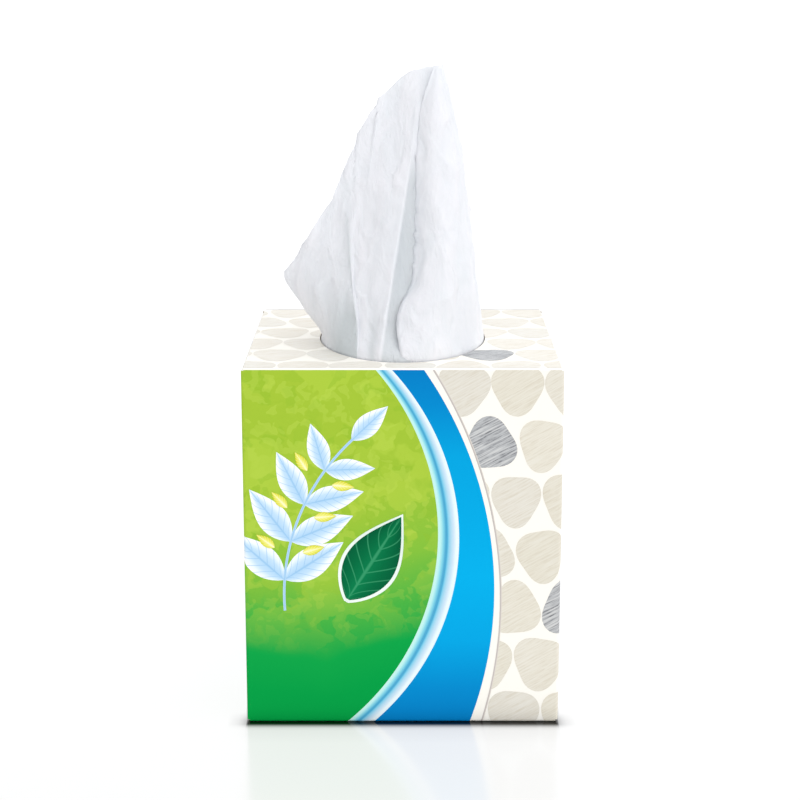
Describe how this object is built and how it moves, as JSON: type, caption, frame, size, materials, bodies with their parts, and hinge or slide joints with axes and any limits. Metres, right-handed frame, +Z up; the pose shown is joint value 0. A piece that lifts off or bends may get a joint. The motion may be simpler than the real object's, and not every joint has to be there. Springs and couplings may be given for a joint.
{
  "type": "tissue box",
  "caption": "Upright cube-shaped paperboard tissue box with an oval opening in its top, a bent clip of interfolded tissues inside and one tissue standing up.",
  "frame": {"origin": "centre of the base, at the underside of the bottom flaps", "axes": "+Z up, the printed front faces -Y, +X to the right seen from the front; the oval opening's long way is along Y"},
  "size_m": [0.1112, 0.1113, 0.2295],
  "materials": {
    "carton_board": "coated paperboard, off white",
    "tissue_stack": "soft creped tissue, stacked",
    "tissue": "soft creped tissue, slightly translucent",
    "green_ink": "printed, glossy coating",
    "pale_ink": "printed, glossy coating",
    "sky_ink": "printed, glossy coating",
    "blue_ink": "printed, glossy coating",
    "shadow_ink": "printed, glossy coating",
    "cream_ink": "printed, glossy coating",
    "grey_ink": "printed, glossy coating",
    "white_ink": "printed, glossy coating",
    "yellow_ink": "printed, glossy coating",
    "border_ink": "printed, glossy coating",
    "dark_green_ink": "printed, glossy coating"
  },
  "bodies": {
    "root": {"carton": "carton_board", "tissue_clip": "tissue_stack", "standing_tissue": "tissue", "green_field": "green_ink", "pale_stripe": "pale_ink", "sky_line": "sky_ink", "blue_band": "blue_ink", "shadow_line": "shadow_ink", "cream_pebbles": "cream_ink", "grey_pebbles": "grey_ink", "leaf_sprig": "white_ink", "sprig_buds": "yellow_ink", "dark_leaf_border": "border_ink", "dark_leaf": "dark_green_ink"}
  },
  "joints": []
}
